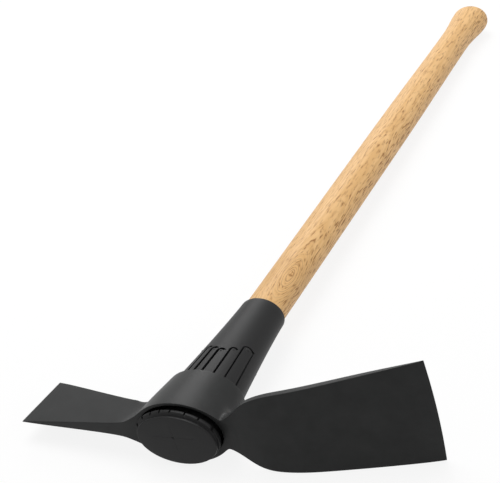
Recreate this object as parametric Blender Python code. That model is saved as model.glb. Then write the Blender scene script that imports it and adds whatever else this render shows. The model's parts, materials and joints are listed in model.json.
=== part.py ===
"""Cutter mattock: a one-piece forged steel head, a turned oval wooden handle, and a moulded socket sleeve
that joins them, with a spring pin through sleeve and tenon, hidden inside the eye.

The pieces are modelled in tool axes: X along the head towards the hoe, Y sideways, Z up the handle, with
the origin in the middle of the sleeve's butt face. An empty then lays the whole tool down as it rests on a
floor: on its eye, on the lower corner of the hoe, and on the knob of the handle.
"""

from math import atan2, cos, pi, radians, sin, sqrt

import bmesh
import bpy
from mathutils import Matrix, Vector

MM = 0.001

# Fits
TOUCH_GAP = 0.3 * MM
PIN_CLEARANCE = 0.3 * MM

# Handle: full widths are along the head, thicknesses across it
TOOL_LENGTH = 924 * MM
TENON_WIDTH = 39.0 * MM
TENON_THICKNESS = 32.6 * MM
TENON_CHAMFER = 3.0 * MM
SHAFT_WIDTH = 42.0 * MM
SHAFT_THICKNESS = 34.8 * MM
SWELL_WIDTH = 42.8 * MM
SWELL_THICKNESS = 35.8 * MM
SWELL_BELOW_END = 334 * MM
NECK_WIDTH = 39.0 * MM
NECK_THICKNESS = 35.4 * MM
NECK_BELOW_END = 102 * MM
KNOB_WIDTH = 49.6 * MM
KNOB_THICKNESS = 41.6 * MM
KNOB_DOME = 13 * MM
KNOB_OFFSET = 1.4 * MM
KNOB_FLARE = 1.6
KNOB_ROUNDING = 11.6 * MM
HANDLE_SEGMENTS = 64

# Socket sleeve
SLEEVE_TOP = 184 * MM
SLEEVE_WALL_TOP = 2.0 * MM
SLEEVE_RIM_ROUNDING = 1.2 * MM
SLEEVE_BUTT_LENGTH = 81.6 * MM
SLEEVE_BUTT_WIDTH = 54.2 * MM
SLEEVE_FLARE = 1.3
BUTT_PLATE_THICKNESS = 8.0 * MM
BUTT_FACE_INSET = 2.6 * MM
BUTT_FACE_ROUNDING = 1.6 * MM
FLANGE_THICKNESS = 6.2 * MM
RELIEF_DEPTH = 2.4 * MM
RELIEF_HEIGHT = 7.6 * MM
SLEEVE_SEGMENTS = 64

# Slots that part the sleeve's fingers, as angles round the oval from its broad side
SLOT_ANGLES = (0, 18.5, 40, 63)
SLOT_WIDTH = 1.8 * MM
SLOT_START = 4.4 * MM
SLOT_TOP_MIDDLE = 99 * MM
SLOT_TOP_OUTER = 113 * MM
SLOT_MOST_DEPTH = 6.0 * MM
CORE_WALL = 2.2 * MM

# Retaining spring pin, across the tool inside the eye
PIN_DIAMETER = 6.0 * MM
PIN_BORE = 3.8 * MM
PIN_SLIT = 0.9 * MM
PIN_HEIGHT = 34 * MM
PIN_RECESS = 1.5 * MM

# Eye of the head
EYE_BUTT_HEIGHT = 7.5 * MM
EYE_TOP_HEIGHT = 60.0 * MM
EYE_BUTT_LENGTH = 95.5 * MM
EYE_BUTT_WIDTH = 65.4 * MM
EYE_BUTT_LEAN = 0.075
EYE_TOP_LENGTH = 76 * MM
EYE_TOP_WIDTH = 56.2 * MM
EYE_MOUTH_LENGTH = 87.4 * MM
EYE_MOUTH_WIDTH = 61.6 * MM
EYE_MOUTH_CHAMFER = 2.6 * MM
EYE_CAGE_SEGMENTS = 24
BORE_SEGMENTS = 64

# Cutter blade, in line with the handle
CUTTER_REACH = 168.7 * MM
CUTTER_TOP_REACH = 164.6 * MM
CUTTER_ROOT = 50 * MM
CUTTER_ROOT_THICKNESS = 16.0 * MM
CUTTER_EDGE_THICKNESS = 0.9 * MM
CUTTER_BOTTOM = 7.5 * MM
CUTTER_ROOT_TOP = 39.5 * MM
CUTTER_TIP_TOP = 65.4 * MM
CUTTER_JOIN_TOP = 45 * MM

# Hoe blade, across the handle
HOE_REACH = 212.5 * MM
HOE_NECK_REACH = 46 * MM
HOE_RISE = 50.0 * MM
HOE_CURVE = 1.4
HOE_NECK_WIDTH = 25.0 * MM
HOE_SHOULDER_WIDTH = 80.4 * MM
HOE_SPREAD = 1.7
HOE_EDGE_WIDTH = 100.4 * MM
HOE_NECK_THICKNESS = 20.0 * MM
HOE_SIDE_THICKNESS = 5.0 * MM
HOE_SPINE_RISE = 4.0 * MM
HOE_GRIND_SHARE = 0.37
HOE_EDGE_THICKNESS = 0.9 * MM


def clear_scene():
    for item in list(bpy.data.objects):
        bpy.data.objects.remove(item, do_unlink=True)


def make_material(name, colour, roughness, metallic):
    material = bpy.data.materials.new(name)
    material.use_nodes = True
    shader = material.node_tree.nodes["Principled BSDF"]
    shader.inputs["Base Color"].default_value = (*colour, 1.0)
    shader.inputs["Roughness"].default_value = roughness
    shader.inputs["Metallic"].default_value = metallic
    return material


def make_object(name, mesh_data, material=None):
    mesh = bpy.data.meshes.new(name)
    mesh_data.to_mesh(mesh)
    mesh_data.free()
    item = bpy.data.objects.new(name, mesh)
    bpy.context.collection.objects.link(item)
    if material:
        mesh.materials.append(material)
    return item


def make_cutter(name, mesh_data, parent):
    """A shape that only cuts others: the build leaves it out."""
    item = make_object(name, mesh_data)
    item.parent = parent
    item.hide_render = True
    item.display_type = "WIRE"
    return item


def cut(target, cutter):
    boolean = target.modifiers.new(cutter.name, "BOOLEAN")
    boolean.operation = "DIFFERENCE"
    boolean.solver = "EXACT"
    boolean.object = cutter


def shade(item, angle=35):
    item.data.shade_smooth()
    item.data.set_sharp_from_angle(angle=radians(angle))


def mix(start, end, share):
    return start + (end - start) * share


def ease(share):
    """From 0 to 1 with a level start and end."""
    share = min(max(share, 0.0), 1.0)
    return share * share * (3 - 2 * share)


def oval(half_length, half_width, height, segments, middle=0.0):
    turn = 2 * pi / segments
    return [(middle + half_length * cos(i * turn), half_width * sin(i * turn), height) for i in range(segments)]


def lean(ring):
    """The eye's butt face leans a little: it stands further up at the hoe than at the cutter."""
    return [(x, y, z + EYE_BUTT_LEAN * x) for x, y, z in ring]


def skin(mesh_data, loops):
    """Faces between loops of as many vertices each, in order."""
    for lower, upper in zip(loops, loops[1:]):
        count = len(lower)
        for i in range(count):
            j = (i + 1) % count
            mesh_data.faces.new((lower[i], lower[j], upper[j], upper[i]))


def loft(rings):
    """A closed body through rings of points, capped at both ends."""
    mesh_data = bmesh.new()
    loops = [[mesh_data.verts.new(point) for point in ring] for ring in rings]
    skin(mesh_data, loops)
    mesh_data.faces.new(reversed(loops[0]))
    mesh_data.faces.new(loops[-1])
    bmesh.ops.recalc_face_normals(mesh_data, faces=mesh_data.faces)
    return mesh_data


# Shared outlines: each gives the half length and half width of an oval at a height


def tenon_half(height):
    """The wood inside the sleeve: it swells from the tenon's end to the shaft's size at the sleeve's rim."""
    share = min(max(height / SLEEVE_TOP, 0.0), 1.0)
    half_length = mix(TENON_WIDTH, SHAFT_WIDTH, share) / 2
    half_width = mix(TENON_THICKNESS, SHAFT_THICKNESS, share) / 2
    return half_length, half_width


def socket_half(height):
    half_length, half_width = tenon_half(height)
    return half_length + TOUCH_GAP, half_width + TOUCH_GAP


def crest_half(height):
    """The sleeve's outside, over the crests of its fingers."""
    rim_length, rim_width = (size + SLEEVE_WALL_TOP for size in socket_half(SLEEVE_TOP))
    share = min(max((SLEEVE_TOP - height) / (SLEEVE_TOP - FLANGE_THICKNESS), 0.0), 1.0) ** SLEEVE_FLARE
    half_length = mix(rim_length, SLEEVE_BUTT_LENGTH / 2, share)
    half_width = mix(rim_width, SLEEVE_BUTT_WIDTH / 2, share)
    return half_length, half_width


def shaft_half(height):
    """The bare shaft above the sleeve: a slight swell, a neck, and the knob."""
    stations = (
        (SLEEVE_TOP, SHAFT_WIDTH, SHAFT_THICKNESS),
        (TOOL_LENGTH - SWELL_BELOW_END, SWELL_WIDTH, SWELL_THICKNESS),
        (TOOL_LENGTH - NECK_BELOW_END, NECK_WIDTH, NECK_THICKNESS),
    )
    for lower, upper in zip(stations, stations[1:]):
        if height <= upper[0]:
            share = ease((height - lower[0]) / (upper[0] - lower[0]))
            return mix(lower[1], upper[1], share) / 2, mix(lower[2], upper[2], share) / 2
    share = knob_share(height)
    return mix(NECK_WIDTH, KNOB_WIDTH, share) / 2, mix(NECK_THICKNESS, KNOB_THICKNESS, share) / 2


def knob_share(height):
    """How far the neck has flared into the knob: slowly at first."""
    neck = TOOL_LENGTH - NECK_BELOW_END
    return ease(min((height - neck) / (NECK_BELOW_END - KNOB_DOME), 1.0) ** KNOB_FLARE)


def eye_half(height):
    share = (height - EYE_BUTT_HEIGHT) / (EYE_TOP_HEIGHT - EYE_BUTT_HEIGHT)
    half_length = mix(EYE_BUTT_LENGTH, EYE_TOP_LENGTH, share) / 2
    half_width = mix(EYE_BUTT_WIDTH, EYE_TOP_WIDTH, share) / 2
    return half_length, half_width


def hoe_face(reach):
    """Height of the hoe's butt-side face: it curves up towards the grip."""
    share = max((reach - HOE_NECK_REACH) / (HOE_REACH - HOE_NECK_REACH), 0.0)
    return EYE_BUTT_HEIGHT + HOE_RISE * share**HOE_CURVE


def build_handle(material):
    tenon_end = BUTT_PLATE_THICKNESS + TOUCH_GAP
    rings = []
    half_length, half_width = tenon_half(tenon_end)
    end_inset = TENON_CHAMFER
    rings.append(oval(half_length - end_inset, half_width - end_inset, tenon_end, HANDLE_SEGMENTS))
    for height in (tenon_end + TENON_CHAMFER, SLEEVE_TOP / 2, SLEEVE_TOP):
        rings.append(oval(*tenon_half(height), height, HANDLE_SEGMENTS))
    neck = TOOL_LENGTH - NECK_BELOW_END
    widest = TOOL_LENGTH - KNOB_DOME
    shaft_steps = 10
    for i in range(1, shaft_steps):
        height = mix(SLEEVE_TOP, neck, i / shaft_steps)
        rings.append(oval(*shaft_half(height), height, HANDLE_SEGMENTS))
    knob_steps = 8
    for i in range(knob_steps):
        height = mix(neck, widest, i / knob_steps)
        middle = KNOB_OFFSET * knob_share(height)
        rings.append(oval(*shaft_half(height), height, HANDLE_SEGMENTS, middle))
    # The knob's end is a wide rounding round a small flat
    rounding_steps = 7
    for i in range(rounding_steps + 1):
        angle = pi / 2 * i / rounding_steps
        inset = KNOB_ROUNDING * (1 - cos(angle))
        height = mix(widest, TOOL_LENGTH, sin(angle))
        half_length = KNOB_WIDTH / 2 - inset
        half_width = KNOB_THICKNESS / 2 - inset
        rings.append(oval(half_length, half_width, height, HANDLE_SEGMENTS, KNOB_OFFSET))
    return make_object("wood_handle", loft(rings), material)


def slot_cutter(angle, side):
    """One slot between two fingers, cut square into the sleeve's broad side."""
    slant = radians(angle)
    reach = abs(angle) / max(SLOT_ANGLES)
    top = mix(SLOT_TOP_MIDDLE, SLOT_TOP_OUTER, reach)
    rings = []
    steps = 6
    for i in range(steps + 1):
        height = mix(SLOT_START, top, i / steps)
        half_length, half_width = crest_half(max(height, FLANGE_THICKNESS))
        middle = half_length * sin(slant)
        outside = half_width * cos(slant)
        core_length, core_width = (size + CORE_WALL for size in socket_half(height))
        core = core_width * sqrt(max(1 - (middle / core_length) ** 2, 0.0))
        floor = max(core, outside - SLOT_MOST_DEPTH)
        floor = mix(floor, outside, 0.25 * (i / steps) ** 2)
        half_slot = SLOT_WIDTH / 2
        if i == steps:
            half_slot = SLOT_WIDTH / 5
        outer = outside + SLOT_MOST_DEPTH
        ring = [
            (middle - half_slot, side * floor, height),
            (middle + half_slot, side * floor, height),
            (middle + half_slot, side * outer, height),
            (middle - half_slot, side * outer, height),
        ]
        rings.append(ring)
    return loft(rings)


def build_sleeve(material, hole, parent):
    segments = SLEEVE_SEGMENTS
    flange_length, flange_width = crest_half(FLANGE_THICKNESS)
    rings = []
    for height, inset in (
        (0.0, BUTT_FACE_INSET),
        (BUTT_FACE_ROUNDING * 0.3, BUTT_FACE_INSET * 0.62),
        (BUTT_FACE_ROUNDING, BUTT_FACE_INSET * 0.4),
        (FLANGE_THICKNESS - BUTT_FACE_ROUNDING, 0.0),
        (FLANGE_THICKNESS, 0.0),
        (FLANGE_THICKNESS + BUTT_FACE_ROUNDING / 2, RELIEF_DEPTH),
        (FLANGE_THICKNESS + RELIEF_HEIGHT, RELIEF_DEPTH),
    ):
        rings.append(oval(flange_length - inset, flange_width - inset, height, segments))
    fingers_start = FLANGE_THICKNESS + RELIEF_HEIGHT + RELIEF_DEPTH
    rim_start = SLEEVE_TOP - SLEEVE_RIM_ROUNDING
    crest_steps = 9
    for i in range(crest_steps + 1):
        height = mix(fingers_start, rim_start, i / crest_steps)
        rings.append(oval(*crest_half(height), height, segments))
    rim_length, rim_width = crest_half(SLEEVE_TOP)
    rounding = SLEEVE_RIM_ROUNDING
    rings.append(oval(rim_length - rounding * 0.3, rim_width - rounding * 0.3, SLEEVE_TOP - rounding * 0.3, segments))
    rings.append(oval(rim_length - rounding, rim_width - rounding, SLEEVE_TOP, segments))
    for height in (SLEEVE_TOP, SLEEVE_TOP / 2, BUTT_PLATE_THICKNESS):
        rings.append(oval(*socket_half(height), height, segments))
    sleeve = make_object("socket_sleeve", loft(rings), material)
    cut(sleeve, hole)

    slots = bmesh.new()
    angles = sorted({angle * sign for angle in SLOT_ANGLES for sign in (-1, 1)})
    for side in (-1, 1):
        for angle in angles:
            single = slot_cutter(angle, side)
            scratch = bpy.data.meshes.new("slot")
            single.to_mesh(scratch)
            single.free()
            slots.from_mesh(scratch)
            bpy.data.meshes.remove(scratch)
    cut(sleeve, make_cutter("slot_cutters", slots, parent))
    return sleeve


def pin_hole(parent):
    """The drilled hole for the spring pin, through sleeve and tenon."""
    mesh_data = bmesh.new()
    radius = PIN_DIAMETER / 2 + PIN_CLEARANCE
    place = Matrix.Translation((0, 0, PIN_HEIGHT)) @ Matrix.Rotation(pi / 2, 4, "X")
    bmesh.ops.create_cone(
        mesh_data,
        cap_ends=True,
        segments=24,
        radius1=radius,
        radius2=radius,
        depth=SLEEVE_BUTT_WIDTH * 1.2,
        matrix=place,
    )
    return make_cutter("pin_hole", mesh_data, parent)


def build_pin(material):
    """A rolled spring pin: a tube with a slit along it."""
    half_length = crest_half(PIN_HEIGHT)[1] - PIN_RECESS
    outer = PIN_DIAMETER / 2
    inner = PIN_BORE / 2
    slit_outer = atan2(PIN_SLIT / 2, outer)
    slit_inner = atan2(PIN_SLIT / 2, inner)
    steps = 20
    section = []
    for i in range(steps + 1):
        angle = mix(slit_outer, 2 * pi - slit_outer, i / steps)
        section.append((outer * cos(angle), outer * sin(angle)))
    for i in range(steps + 1):
        angle = mix(2 * pi - slit_inner, slit_inner, i / steps)
        section.append((inner * cos(angle), inner * sin(angle)))
    rings = [[(x, end * half_length, PIN_HEIGHT + z) for x, z in section] for end in (-1, 1)]
    return make_object("retaining_pin", loft(rings), material)


def head_cage():
    """The head's control mesh: the eye's wall as a ring of faces, and a blade drawn out of each end."""
    mesh_data = bmesh.new()
    count = EYE_CAGE_SEGMENTS
    # A subdivided ring shrinks towards its own middle, so the cage stands a little outside
    swell = 6 / (4 + 2 * cos(2 * pi / count))
    neck_top = hoe_face(EYE_BUTT_LENGTH / 2) + HOE_NECK_THICKNESS
    heights = (EYE_BUTT_HEIGHT, neck_top, CUTTER_JOIN_TOP, EYE_TOP_HEIGHT)
    rings = []
    for height in heights:
        half_length, half_width = eye_half(height)
        ring = oval(half_length * swell, half_width * swell, height, count)
        if height == EYE_BUTT_HEIGHT:
            ring = lean(ring)
        rings.append([mesh_data.verts.new(point) for point in ring])
    skin(mesh_data, rings)
    mesh_data.faces.new(reversed(rings[0]))
    mesh_data.faces.new(rings[-1])
    crease = mesh_data.edges.layers.float.new("crease_edge")

    half = count // 2
    cutter_root = [rings[0][half + 1], rings[0][half], rings[0][half - 1], rings[1][half - 1]]
    cutter_root += [rings[2][half - 1], rings[2][half], rings[2][half + 1], rings[1][half + 1]]
    cutter_loops = [cutter_root] + [[mesh_data.verts.new(p) for p in loop] for loop in cutter_sections()]
    hoe_columns = (-2, -1, 0, 1, 2)
    hoe_root = [rings[0][i % count] for i in hoe_columns] + [rings[1][i % count] for i in reversed(hoe_columns)]
    hoe_loops = [hoe_root] + [[mesh_data.verts.new(p) for p in loop] for loop in hoe_sections()]

    # The faces of the wall where the blades leave it are opened
    hidden = [f for f in mesh_data.faces if len(f.verts) == 4 and all(v in cutter_root + [rings[1][half]] for v in f.verts)]
    hidden += [f for f in mesh_data.faces if len(f.verts) == 4 and all(v in hoe_root for v in f.verts)]
    bmesh.ops.delete(mesh_data, geom=hidden, context="FACES")
    for loops in (cutter_loops, hoe_loops):
        skin(mesh_data, loops)
        mesh_data.faces.new(loops[-1])

    # Crisp edges: round the butt face and the top rim, and along the blades beyond their roots
    crisp = []
    crisp += list(zip(rings[-1], rings[-1][1:] + rings[-1][:1]))
    crisp += list(zip(rings[0], rings[0][1:] + rings[0][:1]))
    for loops, corners in ((cutter_loops, (0, 2, 4, 6)), (hoe_loops, (0, 4, 5, 9))):
        for lower, upper in zip(loops, loops[1:]):
            for corner in corners:
                if lower is loops[0] and lower[corner] not in rings[0]:
                    continue
                crisp.append((lower[corner], upper[corner]))
        last = loops[-1]
        crisp += list(zip(last, last[1:] + last[:1]))
    for first, second in crisp:
        edge = mesh_data.edges.get((first, second))
        if edge:
            edge[crease] = 1.0
    bmesh.ops.recalc_face_normals(mesh_data, faces=mesh_data.faces)
    return mesh_data


def cutter_sections():
    """Sections of the cutter from its root to its edge, each as eight points round a tall thin bar."""
    sections = []
    for share in (0.07, 0.16, 0.36, 0.62, 0.86, 1.0):
        half = mix(CUTTER_ROOT_THICKNESS, CUTTER_EDGE_THICKNESS, share) / 2
        low_reach = -mix(CUTTER_ROOT, CUTTER_REACH, share)
        high_reach = -mix(CUTTER_ROOT, CUTTER_TOP_REACH, share)
        middle_reach = (low_reach + high_reach) / 2
        top = mix(CUTTER_ROOT_TOP, CUTTER_TIP_TOP, max(share - 0.1, 0.0) / 0.9)
        middle = (CUTTER_BOTTOM + top) / 2
        sections.append(
            [
                (low_reach, -half, CUTTER_BOTTOM),
                (low_reach, 0, CUTTER_BOTTOM),
                (low_reach, half, CUTTER_BOTTOM),
                (middle_reach, half, middle),
                (high_reach, half, top),
                (high_reach, 0, top),
                (high_reach, -half, top),
                (middle_reach, -half, middle),
            ]
        )
    return sections


def hoe_sections():
    """Sections of the hoe from its neck to its edge, each as ten points round a wide flat bar."""
    # Share of the reach, share of the flare out of the neck, and how far the root still swells
    stations = (
        (0.012, 0.0, 1.0),
        (0.065, 0.33, 0.60),
        (0.125, 0.68, 0.30),
        (0.21, 0.94, 0.10),
        (0.32, 1.0, 0.0),
        (0.55, 1.0, 0.0),
        (0.80, 1.0, 0.0),
        (0.955, 1.0, 0.0),
        (1.0, 1.0, 0.0),
    )
    sections = []
    for share, flare, root in stations:
        reach = mix(HOE_NECK_REACH, HOE_REACH, share)
        blade = mix(HOE_SHOULDER_WIDTH, HOE_EDGE_WIDTH, max((share - 0.2) / 0.8, 0.0) ** HOE_SPREAD)
        half = mix(HOE_NECK_WIDTH, blade, flare) / 2
        thin = 1 - share
        side = mix(HOE_EDGE_THICKNESS, HOE_SIDE_THICKNESS, min(1.0, thin / HOE_GRIND_SHARE))
        spine = side + HOE_SPINE_RISE * thin
        side = mix(side, HOE_NECK_THICKNESS * 0.8, root**2)
        spine = mix(spine, HOE_NECK_THICKNESS, root)
        bow = 7 * MM * root
        lower = []
        upper = []
        for column in (-1.0, -0.52, 0.0, 0.52, 1.0):
            along = reach + bow * (1 - column**2)
            face = hoe_face(along)
            thickness = mix(spine, side, abs(column) ** 1.5)
            lower.append((along, column * half, face))
            upper.append((along, column * half, face + thickness))
        sections.append(lower + upper[::-1])
    return sections


def build_head(material, parent):
    head = make_object("mattock_head", head_cage(), material)
    smooth = head.modifiers.new("forged_shape", "SUBSURF")
    smooth.levels = 2
    smooth.render_levels = 2

    # The eye's bore: it meets the sleeve's fingers at the top and widens towards its chamfered mouth
    top_length, top_width = (size + TOUCH_GAP for size in crest_half(EYE_TOP_HEIGHT))
    mouth_length = EYE_MOUTH_LENGTH / 2
    mouth_width = EYE_MOUTH_WIDTH / 2
    throat = EYE_BUTT_HEIGHT + EYE_MOUTH_CHAMFER
    past = 6 * MM
    above = EYE_TOP_HEIGHT + past
    slope = past / (EYE_TOP_HEIGHT - throat)
    throat_length = mouth_length - EYE_MOUTH_CHAMFER
    throat_width = mouth_width - EYE_MOUTH_CHAMFER
    rings = [
        lean(oval(mouth_length + past, mouth_width + past, EYE_BUTT_HEIGHT - past, BORE_SEGMENTS)),
        lean(oval(throat_length, throat_width, throat, BORE_SEGMENTS)),
        oval(top_length, top_width, EYE_TOP_HEIGHT, BORE_SEGMENTS),
        oval(
            top_length - (throat_length - top_length) * slope,
            top_width - (throat_width - top_width) * slope,
            above,
            BORE_SEGMENTS,
        ),
    ]
    cut(head, make_cutter("eye_bore", loft(rings), parent))
    return head


def resting_turn():
    """The turn that lays the tool on a floor: on the hoe's lower corner, the eye's rim and the knob."""
    corner = Vector((HOE_REACH, HOE_EDGE_WIDTH / 2, hoe_face(HOE_REACH)))
    eye_length, eye_width = eye_half(EYE_BUTT_HEIGHT)
    knob_length, knob_width = KNOB_WIDTH / 2, KNOB_THICKNESS / 2
    down = Vector((0, 1, 0))
    for _ in range(8):
        reach = sqrt((eye_length * down.x) ** 2 + (eye_width * down.y) ** 2)
        eye = Vector((eye_length**2 * down.x / reach, eye_width**2 * down.y / reach, EYE_BUTT_HEIGHT))
        reach = sqrt((knob_length * down.x) ** 2 + (knob_width * down.y) ** 2)
        widest = TOOL_LENGTH - KNOB_DOME
        end = Vector((knob_length**2 * down.x / reach, knob_width**2 * down.y / reach, widest))
        down = (corner - eye).cross(end - eye).normalized()
        if down.y < 0:
            down = -down
    up = -down
    forward = Vector((0, 0, 1))
    forward = (forward - up * forward.dot(up)).normalized()
    side = forward.cross(up)
    return Matrix((side, forward, up)).to_4x4()


def build():
    clear_scene()
    tool = bpy.data.objects.new("tool", None)
    bpy.context.collection.objects.link(tool)

    coated_steel = make_material("coated_steel", (0.035, 0.036, 0.037), 0.5, 0.3)
    black_polymer = make_material("black_polymer", (0.03, 0.031, 0.033), 0.42, 0.0)
    varnished_wood = make_material("varnished_wood", (0.62, 0.40, 0.21), 0.42, 0.0)
    bright_steel = make_material("bright_steel", (0.55, 0.55, 0.56), 0.35, 1.0)

    hole = pin_hole(tool)
    handle = build_handle(varnished_wood)
    cut(handle, hole)
    sleeve = build_sleeve(black_polymer, hole, tool)
    pin = build_pin(bright_steel)
    head = build_head(coated_steel, tool)
    for item in (handle, sleeve, pin, head):
        item.parent = tool
        shade(item)

    # Laid down, then raised so that the lowest point of the head touches the floor
    turn = resting_turn()
    tool.matrix_world = turn
    bpy.context.view_layer.update()
    graph = bpy.context.evaluated_depsgraph_get()
    corners = []
    for item in (handle, sleeve, head):
        shape = item.evaluated_get(graph)
        corners += [shape.matrix_world @ v.co for v in shape.data.vertices]
    low = Vector(min(c[i] for c in corners) for i in range(3))
    high = Vector(max(c[i] for c in corners) for i in range(3))
    middle = (low + high) / 2
    tool.matrix_world = Matrix.Translation((-middle.x, -middle.y, -low.z)) @ turn


build()
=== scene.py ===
"""The looks of the cutter mattock: a forged head, a moulded socket sleeve and a varnished wooden
handle, lit softly on a pale floor and seen from the butt end of the tool.

Pieces are modelled in tool axes (X along the head towards the hoe, Y sideways, Z up the handle,
origin in the middle of the sleeve's butt face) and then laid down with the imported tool.
"""

import json
from math import cos, hypot, pi, radians, sin

import bmesh
import bpy
from mathutils import Matrix, Vector


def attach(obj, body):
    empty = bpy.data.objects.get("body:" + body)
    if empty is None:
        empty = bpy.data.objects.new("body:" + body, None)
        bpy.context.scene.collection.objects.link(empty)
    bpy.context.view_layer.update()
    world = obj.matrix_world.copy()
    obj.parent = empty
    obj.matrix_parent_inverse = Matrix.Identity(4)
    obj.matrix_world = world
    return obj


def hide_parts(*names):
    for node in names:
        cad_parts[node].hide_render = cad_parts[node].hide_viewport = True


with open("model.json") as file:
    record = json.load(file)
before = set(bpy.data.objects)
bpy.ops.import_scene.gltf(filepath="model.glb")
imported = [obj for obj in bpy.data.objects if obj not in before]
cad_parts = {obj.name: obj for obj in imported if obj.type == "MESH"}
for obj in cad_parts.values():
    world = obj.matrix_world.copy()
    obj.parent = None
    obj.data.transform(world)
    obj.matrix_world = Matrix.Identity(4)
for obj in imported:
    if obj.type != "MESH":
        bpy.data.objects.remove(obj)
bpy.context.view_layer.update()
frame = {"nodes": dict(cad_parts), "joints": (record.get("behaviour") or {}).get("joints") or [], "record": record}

MM = 0.001

# How the tool lies: the handle's direction comes from the record, and the head's is this one
HEAD_DIRECTION = (0.996463, 0.001116, 0.084021)

# Sizes shared with the solids
SLEEVE_TOP = 184 * MM
SOCKET_BUTT = (39.0 * MM, 32.6 * MM)
SOCKET_TOP = (42.0 * MM, 34.8 * MM)
SOCKET_FLOOR = 8.0 * MM
TOUCH_GAP = 0.3 * MM
SLEEVE_WALL_TOP = 2.0 * MM
SLEEVE_BUTT = (81.6 * MM, 54.2 * MM)
SLEEVE_FLARE = 1.3
FLANGE_TOP = 6.2 * MM
RIM_ROUNDING = 1.2 * MM
EYE_TOP_HEIGHT = 60.0 * MM
EYE_TOP = (76.0 * MM, 56.2 * MM)

# How many columns a round surface has, and how many the wall that shows only inside the slots
FINE_SEGMENTS = 192
CORE_SEGMENTS = 128

# How near to its row or column a point has to lie to be picked with it
PICK = 1 * MM
COLUMN_PICK = 0.5 * MM
LEVEL_PICK = 1.2 * MM
# A size under this counts as none
NO_SIZE = 0.01 * MM


def tool_matrix():
    """Where the tool lies: from tool axes to the floor's axes."""
    along = Vector(frame["joints"][0]["axis"]).normalized()
    head = Vector(HEAD_DIRECTION)
    head = (head - along * head.dot(along)).normalized()
    side = along.cross(head)
    mounts = {mount["name"]: mount for mount in frame["record"]["mounts"]}
    origin = Vector(mounts["butt_face"]["pos_m"])
    turn = Matrix((head, side, along)).transposed().to_4x4()
    return Matrix.Translation(origin) @ turn


TOOL = tool_matrix()


# Shapes shared by the pieces


def mix(start, end, share):
    return start + (end - start) * share


def near(value, target, reach=PICK):
    return abs(value - target) < reach


def socket_half(height):
    """Half the length and width of the sleeve's socket at a height."""
    share = min(max(height / SLEEVE_TOP, 0.0), 1.0)
    half_length = mix(SOCKET_BUTT[0], SOCKET_TOP[0], share) / 2 + TOUCH_GAP
    half_width = mix(SOCKET_BUTT[1], SOCKET_TOP[1], share) / 2 + TOUCH_GAP
    return half_length, half_width


def crest_half(height):
    """Half the length and width of the sleeve's outside at a height."""
    rim_length, rim_width = (size + SLEEVE_WALL_TOP for size in socket_half(SLEEVE_TOP))
    share = (SLEEVE_TOP - height) / (SLEEVE_TOP - FLANGE_TOP)
    share = min(max(share, 0.0), 1.0) ** SLEEVE_FLARE
    half_length = mix(rim_length, SLEEVE_BUTT[0] / 2, share)
    half_width = mix(rim_width, SLEEVE_BUTT[1] / 2, share)
    return half_length, half_width


# Modelling by hand


def deselect():
    bpy.ops.object.select_all(action="DESELECT")


def hold(piece):
    deselect()
    piece.select_set(True)
    bpy.context.view_layer.objects.active = piece


def begin(name):
    """Names the primitive that was just added, and opens it in edit mode, selected all over."""
    piece = bpy.context.object
    piece.name = name
    piece.data.name = name
    bpy.ops.object.mode_set(mode="EDIT")
    bpy.ops.mesh.select_mode(type="VERT")
    bpy.ops.mesh.select_all(action="SELECT")
    return piece


def turned(name, stations, segments):
    """A closed body through oval stations of half length, half width and height, in edit mode."""
    deselect()
    bpy.ops.mesh.primitive_circle_add(vertices=segments, radius=1.0)
    piece = begin(name)
    half_length, half_width, height = stations[0]
    bpy.ops.transform.resize(value=(half_length, half_width, 1.0), center_override=(0, 0, 0))
    bpy.ops.transform.translate(value=(0, 0, height))
    bpy.ops.mesh.edge_face_add()
    bpy.ops.mesh.select_all(action="SELECT")
    for before, after in zip(stations, stations[1:]):
        rise = (0, 0, after[2] - before[2])
        bpy.ops.mesh.extrude_region_move(TRANSFORM_OT_translate={"value": rise})
        stretch = (after[0] / before[0], after[1] / before[1], 1.0)
        bpy.ops.transform.resize(value=stretch, center_override=(0, 0, after[2]))
    return piece


def select_where(piece, keep):
    """Selects the vertices whose place passes, and the edges and faces between them."""
    bpy.ops.mesh.select_all(action="DESELECT")
    shape = bmesh.from_edit_mesh(piece.data)
    for vert in shape.verts:
        vert.select = keep(vert.co) and not vert.hide
    shape.select_flush(True)
    bmesh.update_edit_mesh(piece.data)


def select_parts(piece, kind, keep):
    """Selects the edges or the faces that pass."""
    bpy.ops.mesh.select_mode(type=kind)
    bpy.ops.mesh.select_all(action="DESELECT")
    shape = bmesh.from_edit_mesh(piece.data)
    for part in shape.edges if kind == "EDGE" else shape.faces:
        part.select = keep(part)
    shape.select_flush_mode()
    bmesh.update_edit_mesh(piece.data)


def selected_points(piece):
    shape = bmesh.from_edit_mesh(piece.data)
    return [vert.co.copy() for vert in shape.verts if vert.select]


def box_of(points):
    low = Vector([min(point[i] for point in points) for i in range(3)])
    high = Vector([max(point[i] for point in points) for i in range(3)])
    return low, high


def fit_selection(piece, low, high):
    """Moves and stretches what is selected so that its box runs from low to high."""
    old_low, old_high = box_of(selected_points(piece))
    old_middle = (old_low + old_high) / 2
    middle = (Vector(low) + Vector(high)) / 2
    stretch = []
    for i in range(3):
        size = old_high[i] - old_low[i]
        stretch.append((high[i] - low[i]) / size if size > NO_SIZE else 1.0)
    bpy.ops.transform.resize(value=stretch, center_override=old_middle)
    bpy.ops.transform.translate(value=middle - old_middle)


def flatten(piece, axis):
    """Brings what is selected onto one plane across an axis."""
    stretch = [1.0, 1.0, 1.0]
    stretch[axis] = 0.0
    points = selected_points(piece)
    middle = sum(points, Vector()) / len(points)
    bpy.ops.transform.resize(value=stretch, center_override=middle)


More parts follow.
